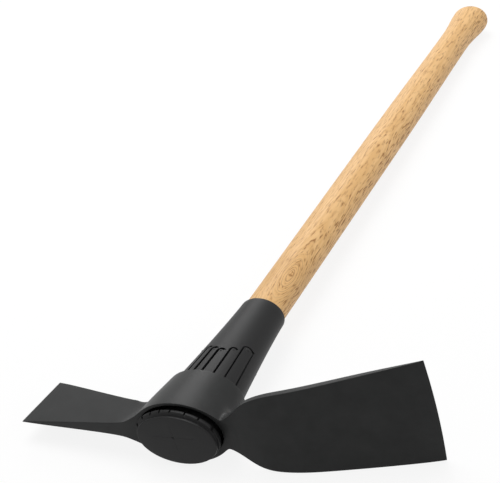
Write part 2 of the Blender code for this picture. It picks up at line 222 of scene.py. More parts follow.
def face_outwards(piece):
    """Turns a closed body's faces outwards, also where a hook or a blade misleads the operator."""
    bpy.ops.mesh.select_all(action="SELECT")
    bpy.ops.mesh.normals_make_consistent(inside=False)
    if bmesh.from_edit_mesh(piece.data).calc_volume(signed=True) < 0:
        bpy.ops.mesh.flip_normals()


def leave_edit(piece):
    face_outwards(piece)
    bpy.ops.object.mode_set(mode="OBJECT")
    hold(piece)


def combine(piece, tool, operation):
    """Cuts or keeps part of a piece with another, which is then gone."""
    hold(piece)
    change = piece.modifiers.new(operation.lower(), "BOOLEAN")
    change.operation = operation
    change.solver = "EXACT"
    change.object = tool
    bpy.ops.object.modifier_apply(modifier=change.name)
    bpy.data.objects.remove(tool, do_unlink=True)


def lay_down(piece, material, body, node, angle):
    """Gives a finished piece its place on the floor, its finish, and the solid it stands for."""
    hold(piece)
    piece.matrix_world = TOOL
    bpy.ops.object.transform_apply(location=True, rotation=True, scale=True)
    bpy.ops.object.shade_smooth_by_angle(angle=radians(angle))
    piece.data.materials.clear()
    piece.data.materials.append(material)
    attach(piece, body)
    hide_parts(node)


# The forged head


# The eye's butt rim as the picture shows it: its height, its size, and how far it leans
EYE_BUTT_HEIGHT = 8.3 * MM
EYE_BUTT = (93.0 * MM, 63.2 * MM)
EYE_LEAN = 0.048

CAGE_SEGMENTS = 24
COLUMN_TURN = 2 * pi / CAGE_SEGMENTS
SMOOTHING_ROUNDS = 3
# In degrees: faces that meet at less than this are shaded as one
HEAD_SMOOTH_ANGLE = 40

# How high the blades' roots reach up the eye, and over how many of its columns
CUTTER_JOIN = 37.5 * MM
HOE_JOIN = 28 * MM
CUTTER_COLUMNS = 2
HOE_COLUMNS = 4

# The share of the eye's own reach past which a face belongs to its wall, and a point to a blade
WALL_START = 0.8
BLADE_START = 1.1

# The corners of the forging: their rounding, how sharp an edge has to be to get it, and the height
# above which the blades' roots go without it
CORNER_ROUNDING = 0.42 * MM
CORNER_SEGMENTS = 2
CORNER_ANGLE = radians(50)
ROOT_START = 12 * MM

# The eye's butt rim runs out into the cutter: how far along and how far sideways its columns stand,
# in millimetres, from the cutter's end on
RIM_TO_CUTTER = ((-48.9, 9.6), (-41.0, 15.0), (-33.5, 20.6), (-24.2, 26.8))

# Cutter stations in millimetres: reach at the bottom and at the top edge, thickness, bottom, top
CUTTER_STATIONS = (
    (58.3, 58.0, 15.6, 6.1, 37.9),
    (69.0, 68.3, 13.0, 6.3, 40.6),
    (92.7, 91.3, 10.2, 6.6, 46.3),
    (123.6, 121.1, 6.7, 6.4, 54.0),
    (152.1, 148.6, 3.2, 6.1, 61.2),
    (168.7, 163.9, 0.9, 6.2, 64.6),
)
# The share of a station's height within which a point belongs to one of its rows
CUTTER_ROW_BAND = 0.2

# Hoe stations in millimetres: reach, bow towards the edge, width, height of the butt face,
# thickness at the sides, and how far the spine stands up along the middle
HOE_STATIONS = (
    (43.6, 9.0, 29.4, 9.9, 12.0, 4.0),
    (49.4, 6.6, 36.2, 10.3, 7.0, 9.0),
    (56.0, 4.0, 46.6, 10.2, 5.8, 9.0),
    (62.0, 2.8, 58.4, 10.6, 5.7, 8.0),
    (69.0, 1.5, 67.8, 10.8, 5.7, 6.6),
    (78.0, 0.5, 75.0, 11.8, 5.7, 5.0),
    (90.0, 0.0, 79.8, 14.4, 5.7, 3.6),
    (108.0, 0.0, 83.0, 18.3, 5.7, 2.4),
    (135.0, 0.0, 87.4, 27.5, 5.5, 1.6),
    (165.0, 0.4, 92.9, 38.5, 4.6, 1.0),
    (190.0, 1.0, 96.8, 47.8, 3.2, 0.4),
    (206.0, 1.6, 99.3, 54.2, 1.6, 0.1),
    (212.5, 1.9, 100.2, 57.3, 0.9, 0.0),
)
# The share of a station's thickness that parts its two rows, and how the bow and the spine grow
# towards its middle: within which share of its half width, by which share of their size
HOE_ROW_PARTING = 0.2
BOW_STEPS = ((0.8, 0.75), (0.2, 0.25))
SPINE_STEPS = ((0.8, 0.6), (0.2, 0.4))

# The bore's mouth: half its size, how far it lies off the handle's middle, and its rounded lip: how
# far out from the mouth and how far up from the butt rim each of its rings is, in millimetres
MOUTH_HALF = (40.2 * MM, 28.2 * MM)
MOUTH_SHIFT = (1.2 * MM, -1.2 * MM)
MOUTH_LIP = ((2.0, -2.0), (0.0, 0.0), (-0.5, 0.5), (-0.9, 2.0))
# Where the bore starts below the tool and ends above the eye, and from where it follows the sleeve
BORE_START = -6.0 * MM
BORE_PAST_TOP = 12 * MM
THROAT_HEIGHT = 28.0 * MM


def eye_half(height):
    """Half the length and width of the eye's outside at a height."""
    share = (height - EYE_BUTT_HEIGHT) / (EYE_TOP_HEIGHT - EYE_BUTT_HEIGHT)
    return mix(EYE_BUTT[0], EYE_TOP[0], share) / 2, mix(EYE_BUTT[1], EYE_TOP[1], share) / 2


def lean_rim():
    """Tips what is selected by the lean of the eye's butt rim."""
    middle = (0, 0, EYE_BUTT_HEIGHT)
    # With no window, the turn runs the other way round
    bpy.ops.transform.rotate(value=EYE_LEAN, orient_axis="Y", center_override=middle)


def forge_eye():
    """The eye as a coarse ring of faces, a little outside the size that smoothing leaves."""
    swell = 6 / (4 + 2 * cos(COLUMN_TURN))
    heights = (EYE_BUTT_HEIGHT, HOE_JOIN, CUTTER_JOIN, EYE_TOP_HEIGHT)
    stations = [(*(size * swell for size in eye_half(height)), height) for height in heights]
    head = turned("forged_head", stations, CAGE_SEGMENTS)
    half_length, _, height = stations[0]
    for column, (reach, side) in enumerate(RIM_TO_CUTTER, 1):
        across = half_length * cos(COLUMN_TURN * column)
        select_where(
            head, lambda point: point.z < height + PICK and near(point.x, -across, COLUMN_PICK)
        )
        low = (reach * MM, -side * MM, height)
        high = (reach * MM, side * MM, height)
        fit_selection(head, low, high)
        bpy.ops.transform.translate(value=(reach * MM + across, 0, 0))
    select_where(head, lambda point: point.z < height + PICK)
    lean_rim()
    return head


def select_wall(head, side, columns, top):
    """Selects the faces of the eye's wall on the cutter's or the hoe's side, up to a height."""
    half_turn = COLUMN_TURN * columns / 2

    def on_wall(face):
        middle = face.calc_center_median()
        length, width = eye_half(middle.z)
        reach = hypot(middle.x / length, middle.y / width)
        in_front = middle.x * side > 0 and abs(middle.y / width) < sin(half_turn)
        return reach > WALL_START and middle.z < top and in_front

    select_parts(head, "FACE", on_wall)


def draw_cutter(head):
    select_wall(head, -1, CUTTER_COLUMNS, CUTTER_JOIN)
    for reach, _, thickness, bottom, top in CUTTER_STATIONS:
        half = thickness / 2 * MM
        bpy.ops.mesh.extrude_region_move()
        flatten(head, 0)
        fit_selection(head, (-reach * MM, -half, bottom * MM), (-reach * MM, half, top * MM))
    row_share = (HOE_JOIN - EYE_BUTT_HEIGHT) / (CUTTER_JOIN - EYE_BUTT_HEIGHT)
    for reach, _, thickness, bottom, top in CUTTER_STATIONS:
        span = (top - bottom) * MM
        levels = [mix(bottom, top, share) * MM for share in (0, row_share, 1)]
        for level in levels:
            level_row(head, -reach * MM, level, span * CUTTER_ROW_BAND)
        for level in levels:
            even_row(head, -reach * MM, level, thickness / 2 * MM)
    # The top edge reaches less far than the bottom one
    for reach, top_reach, _, bottom, top in CUTTER_STATIONS:
        for share in (row_share, 1.0):
            level = mix(bottom, top, share) * MM
            select_where(
                head, lambda point: near(point.x, -reach * MM) and near(point.z, level)
            )
            bpy.ops.transform.translate(value=((reach - top_reach) * share * MM, 0, 0))


def level_row(head, reach, level, band):
    """Sets one row of a cutter station level: the leaning butt rim lets it slope."""
    select_where(head, lambda point: near(point.x, reach) and near(point.z, level, band))
    flatten(head, 2)
    height = selected_points(head)[0].z
    bpy.ops.transform.translate(value=(0, 0, level - height))


def even_row(head, reach, level, half):
    """Gives one row of a cutter station its width."""
    select_where(head, lambda point: near(point.x, reach) and near(point.z, level, LEVEL_PICK))
    low, high = box_of(selected_points(head))
    low.y, high.y = -half, half
    fit_selection(head, low, high)


def draw_hoe(head):
    select_wall(head, 1, HOE_COLUMNS, HOE_JOIN)
    for reach, bow, width, face, side, rise in HOE_STATIONS:
        half = width / 2 * MM
        bpy.ops.mesh.extrude_region_move()
        flatten(head, 0)
        low = (reach * MM, -half, face * MM)
        high = (reach * MM, half, (face + side) * MM)
        fit_selection(head, low, high)
        # The rest is hidden while the station's butt row and grip row are set straight
        bpy.ops.mesh.hide(unselected=True)
        between = mix(face, face + side, HOE_ROW_PARTING) * MM
        select_where(head, lambda point: point.z < between)
        fit_row(head, low, high, face * MM)
        select_where(head, lambda point: point.z > between)
        fit_row(head, low, high, (face + side) * MM)
        for part, share in BOW_STEPS:
            select_where(head, lambda point: abs(point.y) < half * part)
            bpy.ops.transform.translate(value=(bow * share * MM, 0, 0))
        # The spine along the middle of the grip side
        for part, share in SPINE_STEPS:
            select_where(head, lambda point: point.z > between and abs(point.y) < half * part)
            bpy.ops.transform.translate(value=(0, 0, rise * share * MM))
        bpy.ops.mesh.select_all(action="SELECT")
        bpy.ops.mesh.reveal(select=False)


def fit_row(piece, low, high, level):
    """Sets the selected row level and gives it its station's length and width."""
    flatten(piece, 2)
    fit_selection(piece, (low[0], low[1], level), (high[0], high[1], level))


def in_eye(point):
    length, width = eye_half(EYE_BUTT_HEIGHT)
    return hypot(point.x / length, point.y / width) < BLADE_START


def is_corner(edge):
    """Whether an edge of the forging is an outward corner that isn't part of a blade's root."""
    points = [vert.co for vert in edge.verts]
    sharp = edge.calc_face_angle(0.0) > CORNER_ANGLE
    on_rim = all(point.z > EYE_TOP_HEIGHT - PICK and in_eye(point) for point in points)
    at_root = any(point.z > ROOT_START and in_eye(point) for point in points)
    return sharp and edge.is_convex and (on_rim or not at_root)


def round_corners(head):
    """Rounds the outward corners of the forging a little, and lets the blades' roots flow."""
    face_outwards(head)
    select_parts(head, "EDGE", is_corner)
    bpy.ops.mesh.bevel(
        offset=CORNER_ROUNDING, segments=CORNER_SEGMENTS, affect="EDGES", clamp_overlap=True
    )


def eye_bore():
    """The bore's body: a mouth a little off the handle's middle, then a taper round the sleeve."""
    length, width = MOUTH_HALF
    widest = MOUTH_LIP[0][0] * MM
    stations = [(length + widest, width + widest, BORE_START)]
    for out, up in MOUTH_LIP:
        stations.append((length + out * MM, width + out * MM, EYE_BUTT_HEIGHT + up * MM))
    for height in (THROAT_HEIGHT, EYE_TOP_HEIGHT):
        stations.append((*(size + TOUCH_GAP for size in crest_half(height)), height))
    stations.append((*stations[-1][:2], EYE_TOP_HEIGHT + BORE_PAST_TOP))
    bore = turned("eye_bore", stations, FINE_SEGMENTS)
    select_where(bore, lambda point: point.z < (EYE_BUTT_HEIGHT + THROAT_HEIGHT) / 2)
    lean_rim()
    bpy.ops.transform.translate(value=(*MOUTH_SHIFT, 0))
    leave_edit(bore)
    return bore


def build_head(material):
    head = forge_eye()
    draw_cutter(head)
    draw_hoe(head)
    round_corners(head)
    leave_edit(head)
    smooth = head.modifiers.new("forged_shape", "SUBSURF")
    smooth.levels = SMOOTHING_ROUNDS
    smooth.render_levels = SMOOTHING_ROUNDS
    bpy.ops.object.modifier_apply(modifier=smooth.name)
    combine(head, eye_bore(), "DIFFERENCE")
    lay_down(head, material, "head", "mattock_head", HEAD_SMOOTH_ANGLE)


# The moulded sleeve


SLEEVE_SMOOTH_ANGLE = 38

# The sleeve's butt end from its face up, in millimetres: height, and how far inside the flange's
# size it lies. First the disc, then the flange's core, then the relief and its way out to the taper
BUTT_RINGS = (
    (0.03, 2.9),
    (0.08, 2.5),
    (0.25, 2.15),
    (0.6, 2.0),
    (2.4, 2.0),
    (3.1, 1.7),
    (4.4, 1.6),
    (4.9, 2.5),
    (5.4, 4.8),
    (22.0, 4.8),
    (26.0, 3.0),
)
TAPER_START = 30 * MM
TAPER_STEPS = 24
RIM_STEPS = 5

# Slots between the sleeve's fingers, from the cutter's side to the hoe's: the angle round the oval
# in degrees, then in millimetres how high the straight part reaches, how wide it is, and the radius
# of the hook at its top, or 0 where the slot has none
SLOTS = (
    (-64.0, 106.0, 1.6, 2.6),
    (-45.0, 104.0, 1.8, 2.6),
    (-28.0, 101.0, 2.2, 2.6),
    (-13.3, 98.0, 3.0, 2.8),
    (1.6, 96.0, 2.8, 3.0),
    (21.5, 101.0, 2.0, 2.8),
    (41.0, 109.0, 1.3, 3.6),
    (65.0, 112.0, 1.3, 0.0),
)
SLOT_BOTTOM = 5.2 * MM
SLOT_DEPTH = 5.0 * MM
SLOT_STEPS = 6
HOOK_TURN = 155
HOOK_STEPS = 12

# Across the tool, where the bodies that cut slots and toes start and how far they reach from there
CUT_START = 8 * MM
CUT_REACH = 32 * MM

# The wall at the bottom of the slots: its least thickness and the heights that it runs through
CORE_WALL = 2.2 * MM
CORE_HEIGHTS = (5.0 * MM, 40 * MM, 80 * MM, 120 * MM)

# The rounded finger ends inside the hooks
BEAD_STANDS = 0.5 * MM
BEAD_SEGMENTS = 24
BEAD_RINGS = 16

# The disc at the sleeve's butt end sits a little to the side of the flange
DISC_EDGE = 2.7 * MM
DISC_SHIFT = 2.0 * MM

# The toes that the flange ends in: their heights, the gap between two, and their rounded outer
# edges, which are found by how near to the rim they run and how sharp they are, and how far the
# body that they are cut from reaches past them
TOE_BOTTOM = 2.9 * MM
TOE_TOP = 6.2 * MM
TOE_GAP = 1.6 * MM
TOE_ROUNDING = 1.1 * MM
TOE_ROUNDING_STEPS = 4
TOE_RIM_START = 0.99
TOE_EDGE_ANGLE = radians(40)
STOCK_MARGIN = 1 * MM

# The marks that the moulding leaves on the disc: the gate's hollow, and two weld lines through it
GATE_PLACE = (-1.8 * MM, -1.2 * MM)
GATE_RADIUS = 1.75 * MM
GATE_DEPTH = 0.8 * MM
GATE_SEGMENTS = 96
WELD_WIDTH = 0.4 * MM
WELD_DEPTH = 0.1 * MM
WELD_LINES = ((44 * MM, WELD_WIDTH), (WELD_WIDTH, 26 * MM))


def core_half(height):
    """Half the length and width of the sleeve's wall at the bottom of the slots."""
    crest_length, crest_width = crest_half(max(height, FLANGE_TOP))
    socket_length, socket_width = socket_half(height)
    half_length = max(crest_length - SLOT_DEPTH, socket_length + CORE_WALL)
    half_width = max(crest_width - SLOT_DEPTH, socket_width + CORE_WALL)
    return half_length, half_width


def sleeve_stations():
    """The sleeve's outside: the butt end, the taper, and the rounded rim at the wood."""
    length, width = crest_half(FLANGE_TOP)
    stations = [
        (length - inset * MM, width - inset * MM, height * MM) for height, inset in BUTT_RINGS
    ]
    rim_start = SLEEVE_TOP - RIM_ROUNDING
    for step in range(TAPER_STEPS + 1):
        height = mix(TAPER_START, rim_start, step / TAPER_STEPS)
        stations.append((*crest_half(height), height))
    length, width = crest_half(SLEEVE_TOP)
    for step in range(1, RIM_STEPS + 1):
        turn = radians(90) * step / RIM_STEPS
        inset = RIM_ROUNDING * (1 - cos(turn))
        height = SLEEVE_TOP - RIM_ROUNDING * (1 - sin(turn))
        stations.append((length - inset, width - inset, height))
    return stations


def on_crest(angle, height):
    """How far along the head a slot's middle lies at a height."""
    return crest_half(max(height, FLANGE_TOP))[0] * sin(radians(angle))


def strip(name, rows):
    """A strip standing across the head, drawn upwards row by row: left, right and height."""
    deselect()
    bpy.ops.mesh.primitive_plane_add(size=1.0)
    piece = begin(name)
    bpy.ops.transform.rotate(value=radians(90), orient_axis="X", center_override=(0, 0, 0))
    left, right, low = rows[0]
    left_up, right_up, high = rows[1]
    fit_selection(piece, (left, 0, low), (right, 0, high))
    select_where(piece, lambda point: point.z > (low + high) / 2)
    fit_selection(piece, (left_up, 0, high), (right_up, 0, high))
    for left, right, height in rows[2:]:
        bpy.ops.mesh.extrude_region_move()
        fit_selection(piece, (left, 0, height), (right, 0, height))
    return piece


def deepen(piece, start, end):
    """Gives a strip its depth across the tool."""
    bpy.ops.mesh.select_all(action="SELECT")
    bpy.ops.transform.translate(value=(0, start, 0))
    bpy.ops.mesh.extrude_region_move(TRANSFORM_OT_translate={"value": (0, end - start, 0)})
    leave_edit(piece)


def slot_cutter(angle, top, width, hook, start, end):
    """The body that cuts a slot: straight up between two fingers, then over in a hook."""
    half = width / 2 * MM
    rows = []
    for step in range(SLOT_STEPS + 1):
        height = mix(SLOT_BOTTOM, top * MM, step / SLOT_STEPS)
        middle = on_crest(angle, height)
        rows.append((middle - half, middle + half, height))
    slot = strip("slot", rows)
    if hook:
        centre = (middle + hook * MM, 0, top * MM)
        turn = -radians(HOOK_TURN)
        bpy.ops.mesh.spin(steps=HOOK_STEPS, angle=turn, center=centre, axis=(0, 1, 0))
    deepen(slot, start, end)
    return slot


def finger_bead(angle, top, width, hook, side):
    """The small rounded end of a finger inside the hook of its slot."""
    along = on_crest(angle, top * MM) + hook * MM
    half_length, half_width = crest_half(top * MM)
    across = side * half_width * (1 - (along / half_length) ** 2) ** 0.5
    outward = Vector((along / half_length**2, across / half_width**2, 0)).normalized()
    radius = (hook - width / 2) * MM
    deselect()
    bpy.ops.mesh.primitive_uv_sphere_add(
        segments=BEAD_SEGMENTS, ring_count=BEAD_RINGS, radius=radius
    )
    bead = begin("finger_bead")
    middle = Vector((along, across, top * MM)) + outward * (BEAD_STANDS - radius)
    bpy.ops.transform.translate(value=middle)
    leave_edit(bead)
    return bead


def toe_stock():
    """The body that the flange's toes are cut from."""
    rim = crest_half(FLANGE_TOP)
    stations = [(*rim, TOE_BOTTOM - STOCK_MARGIN), (*rim, TOE_TOP + STOCK_MARGIN)]
    stock = turned("toe_stock", stations, FINE_SEGMENTS)
    leave_edit(stock)
    return stock


def is_toe_edge(edge):
    """Whether an edge runs level along the outer face of a toe."""
    half_length, half_width = crest_half(FLANGE_TOP)
    points = [vert.co for vert in edge.verts]
    reaches = [hypot(point.x / half_length, point.y / half_width) for point in points]
    level = near(points[0].z, points[1].z, NO_SIZE)
    return min(reaches) > TOE_RIM_START and level and edge.calc_face_angle(0.0) > TOE_EDGE_ANGLE


def cut_toe(left, right, start, end):
    """A toe of the flange between two gaps, rounded along its outer edges."""
    toe = strip("toe", [(left, right, TOE_BOTTOM), (left, right, TOE_TOP)])
    deepen(toe, start, end)
    combine(toe, toe_stock(), "INTERSECT")
    hold(toe)
    bpy.ops.object.mode_set(mode="EDIT")
    select_parts(toe, "EDGE", is_toe_edge)
    bpy.ops.mesh.bevel(
        offset=TOE_ROUNDING, segments=TOE_ROUNDING_STEPS, affect="EDGES", clamp_overlap=True
    )
    leave_edit(toe)
    return toe


def weld_line(size):
    """The body that cuts a faint weld line into the butt disc. Its lower half lies outside."""
    deselect()
    bpy.ops.mesh.primitive_cube_add(size=1.0)
    line = begin("weld_line")
    bpy.ops.transform.resize(value=(*size, 2 * WELD_DEPTH), center_override=(0, 0, 0))
    bpy.ops.transform.translate(value=(*GATE_PLACE, 0))
    leave_edit(line)
    return line


def gate_dimple():
    """The ball that hollows out the mark of the moulding gate in the butt disc."""
    radius = (GATE_RADIUS**2 + GATE_DEPTH**2) / (2 * GATE_DEPTH)
    deselect()
    bpy.ops.mesh.primitive_uv_sphere_add(
        segments=GATE_SEGMENTS, ring_count=GATE_SEGMENTS, radius=radius
    )
    ball = begin("gate_dimple")
    bpy.ops.transform.translate(value=(*GATE_PLACE, GATE_DEPTH - radius))
    leave_edit(ball)
    return ball


def slot_floor():
    """The sleeve's wall at the bottom of the slots, hollow like the socket."""
    stations = [(*core_half(height), height) for height in CORE_HEIGHTS]
    stations += [(*socket_half(height), height) for height in (CORE_HEIGHTS[-1], SOCKET_FLOOR)]
    wall = turned("slot_floor", stations, CORE_SEGMENTS)
    leave_edit(wall)
    return wall


def build_sleeve(material):
    stations = sleeve_stations()
    for height in (SLEEVE_TOP, SLEEVE_TOP / 2, SOCKET_FLOOR):
        stations.append((*socket_half(height), height))
    sleeve = turned("moulded_sleeve", stations, FINE_SEGMENTS)
    select_where(sleeve, lambda point: point.z < DISC_EDGE)
    bpy.ops.transform.translate(value=(0, DISC_SHIFT, 0))
    leave_edit(sleeve)
    combine(sleeve, gate_dimple(), "DIFFERENCE")
    for size in WELD_LINES:
        combine(sleeve, weld_line(size), "DIFFERENCE")
    gaps = [on_crest(slot[0], FLANGE_TOP) for slot in SLOTS]
    half_gap = TOE_GAP / 2
    parts = []
    for side in (-1, 1):
        start, end = side * CUT_START, side * (CUT_START + CUT_REACH)
        for angle, top, width, hook in SLOTS:
            slot = slot_cutter(angle, top, width, hook, start, end)
            combine(sleeve, slot, "DIFFERENCE")
            if hook:
                parts.append(finger_bead(angle, top, width, hook, side))
        for left, right in zip(gaps, gaps[1:]):
            parts.append(cut_toe(left + half_gap, right - half_gap, start, end))
    # The toes at the two ends of the oval
    beyond = SLEEVE_BUTT[0]
    for left, right in ((-beyond, gaps[0] - half_gap), (gaps[-1] + half_gap, beyond)):
        parts.append(cut_toe(left, right, -CUT_REACH, CUT_REACH))
    parts.append(slot_floor())
    hold(sleeve)
    for part in parts:
        part.select_set(True)
    bpy.ops.object.join()
    lay_down(sleeve, material, "handle", "socket_sleeve", SLEEVE_SMOOTH_ANGLE)


# Finishes


class Graph:
    """The nodes of a material or of the world, and the ways in which they are joined here."""

    def __init__(self, tree):
        self.nodes = tree.nodes
        self.links = tree.links

    def feed(self, socket, value):
        """Sets a socket to a plain value, or links another node's output to it."""
        if isinstance(value, bpy.types.NodeSocket):
            self.links.new(value, socket)
        else:
            socket.default_value = value

    def give(self, node, values):
        for name, value in values.items():
            self.feed(node.inputs[name], value)

    def add(self, kind, *values, **settings):
        """A new node with its settings, and its first sockets fed in their order."""
        node = self.nodes.new(kind)
        for name, value in settings.items():
            setattr(node, name, value)
        for socket, value in zip(node.inputs, values):
            self.feed(socket, value)
        return node

    def place(self):
        """The place on the object, in metres."""
        return self.add("ShaderNodeTexCoord").outputs["Object"]

    def calc(self, operation, *values):
        return self.add("ShaderNodeMath", *values, operation=operation).outputs[0]

    def length(self, vector):
        return self.add("ShaderNodeVectorMath", vector, operation="LENGTH").outputs["Value"]

    def vector(self, x, y, z):
        return self.add("ShaderNodeCombineXYZ", x, y, z).outputs[0]

    def noise(self, place, scale, detail):
        node = self.add("ShaderNodeTexNoise")
        self.give(node, {"Vector": place, "Scale": scale, "Detail": detail})
        return node.outputs["Fac"]

    def spread(self, value, start, end, low=0.0, high=1.0):
        """Runs a value's range from low to high out to the range from start to end."""
        return self.add("ShaderNodeMapRange", value, low, high, start, end).outputs["Result"]

    def ramp(self, value, first, last):
        """A colour ramp between two stops, each a place on it and a colour."""
        node = self.add("ShaderNodeValToRGB", value)
        for stop, (position, colour) in zip(node.color_ramp.elements, (first, last)):
            stop.position = position
            stop.color = (*colour, 1)
        return node.outputs["Color"]

    def blend(self, kind, first, second, share):
        node = self.add("ShaderNodeMix", data_type="RGBA", blend_type=kind)
        self.give(node, {"Factor": share, "A": first, "B": second})
        return node.outputs["Result"]

    def relief(self, height, strength, depth):
        """A bump from a height, its depth in millimetres."""
        node = self.add("ShaderNodeBump")
        self.give(node, {"Strength": strength, "Distance": depth * MM, "Height": height})
        return node.outputs["Normal"]

    def seen_directly(self):
        """1 for what the camera sees, straight or by way of gloss and glass, and 0 for light."""
        rays = self.add("ShaderNodeLightPath").outputs
        seen = self.calc("MAXIMUM", rays["Is Camera Ray"], rays["Is Glossy Ray"])
        return self.calc("MAXIMUM", seen, rays["Is Transmission Ray"])


def new_finish(name):
    """A new material, its graph and its shader."""
    material = bpy.data.materials.new(name)
    material.use_nodes = True
    graph = Graph(material.node_tree)
    return material, graph, graph.nodes["Principled BSDF"]


# In every finish a pattern is given by its scale and detail, a tone by its place on the ramp and
# its colour, a roughness by its two ends, and a relief by its strength and depth in millimetres
STEEL_CLOUD = (60, 6)
STEEL_GRAIN = (900, 3)
STEEL_TONES = ((0.3, (0.0125, 0.013, 0.013)), (0.75, (0.019, 0.0195, 0.0195)))
STEEL_ROUGHNESS = (0.36, 0.46)
STEEL_RELIEF = (0.15, 0.2)
STEEL_SPECULAR = 0.16

POLYMER_GRAIN = (700, 4)
POLYMER_TONES = ((0.2, (0.009, 0.009, 0.0093)), (0.8, (0.013, 0.013, 0.0133)))
POLYMER_ROUGHNESS = (0.42, 0.54)
POLYMER_RELIEF = (0.1, 0.15)
POLYMER_SPECULAR = 0.18

PIN_GRAIN = (500, 2)
PIN_COLOUR = (0.55, 0.55, 0.56, 1)
PIN_ROUGHNESS = (0.3, 0.45)


def coated_steel():
    """The head's thin black coating, a little cloudy."""
    material, graph, shader = new_finish("coated_steel")
    place = graph.place()
    cloud = graph.noise(place, *STEEL_CLOUD)
    grain = graph.noise(place, *STEEL_GRAIN)
    values = {
        "Base Color": graph.ramp(cloud, *STEEL_TONES),
        "Roughness": graph.spread(cloud, *STEEL_ROUGHNESS),
        "Normal": graph.relief(grain, *STEEL_RELIEF),
        "Specular IOR Level": STEEL_SPECULAR,
    }
    graph.give(shader, values)
    return material


def black_polymer():
    """The sleeve's moulded surface, dull with a fine grain."""
    material, graph, shader = new_finish("black_polymer")
    grain = graph.noise(graph.place(), *POLYMER_GRAIN)
    values = {
        "Base Color": graph.ramp(grain, *POLYMER_TONES),
        "Roughness": graph.spread(grain, *POLYMER_ROUGHNESS),
        "Normal": graph.relief(grain, *POLYMER_RELIEF),
        "Specular IOR Level": POLYMER_SPECULAR,
    }
    graph.give(shader, values)
    return material


def bright_steel():
    """The pin's bare steel."""
    material, graph, shader = new_finish("bright_steel")
    grain = graph.noise(graph.place(), *PIN_GRAIN)
    roughness = graph.spread(grain, *PIN_ROUGHNESS)
    graph.give(shader, {"Base Color": PIN_COLOUR, "Metallic": 1.0, "Roughness": roughness})
    return material


# The wood's figure: where its centre lies on the handle, how far it reaches along it, and how flat
# its rings lie
FIGURE_PLACE = (-0.0115, -0.2295, 0.0465)
FIGURE_REACH = 0.055
FIGURE_FLATTENING = 0.30

# Growth rings: their spacing, how far they waver, and their two tones
RING_SPACING = 2.4 * MM
RING_WAVER = 9 * MM
WAVER_PATTERN = (9, 2)
RING_TONES = ((0.0, (0.675, 0.412, 0.180)), (1.0, (0.745, 0.476, 0.226)))

# Short dark flecks along the fibres: their size, the levels of the pattern between which they
# appear, how much a patch adds to it, and how much painted shade adds to it on the handle's side away from the
# main light
FLECK_LENGTH = 14 * MM
FLECK_WIDTH = 0.85 * MM
FLECK_PATTERN = (1.0, 2)
FLECK_LEVELS = (0.675, 0.74)
PATCH_PATTERN = (28, 3)
PATCH_ADDS = 0.10
PAINTED_SHADE_FLECKS_ADD = 0.115
PAINTED_SHADE_REACH = 14 * MM
FAINT_LEVELS = (0.50, 0.66)
FAINT_SHARE = 0.52

# The knot in the middle of the figure, and the thin ring lines round it
KNOT_RADIUS = 3.2 * MM
KNOT_EDGE = 1 * MM
KNOT_WAVER = 2 * MM
LINE_SHARE = 0.8
LINE_REACH = (8 * MM, 50 * MM)
LINE_LEVELS = (0.80, 1.0)

# The colour of the marks, which also paints the shade on the handle's side away from the main
# light, and how much of it they take, the patches' tinge, and the varnish
MARK_AND_PAINTED_SHADE_COLOUR = (0.25, 0.11, 0.032, 1)
MARK_SHARE = 0.84
PATCH_TONES = ((0.3, (0.93, 0.91, 0.87)), (0.7, (1.0, 1.0, 1.0)))
WOOD_ROUGHNESS = (0.38, 0.50)
WOOD_RELIEF = (0.08, 0.2)
WOOD_SPECULAR = 0.15


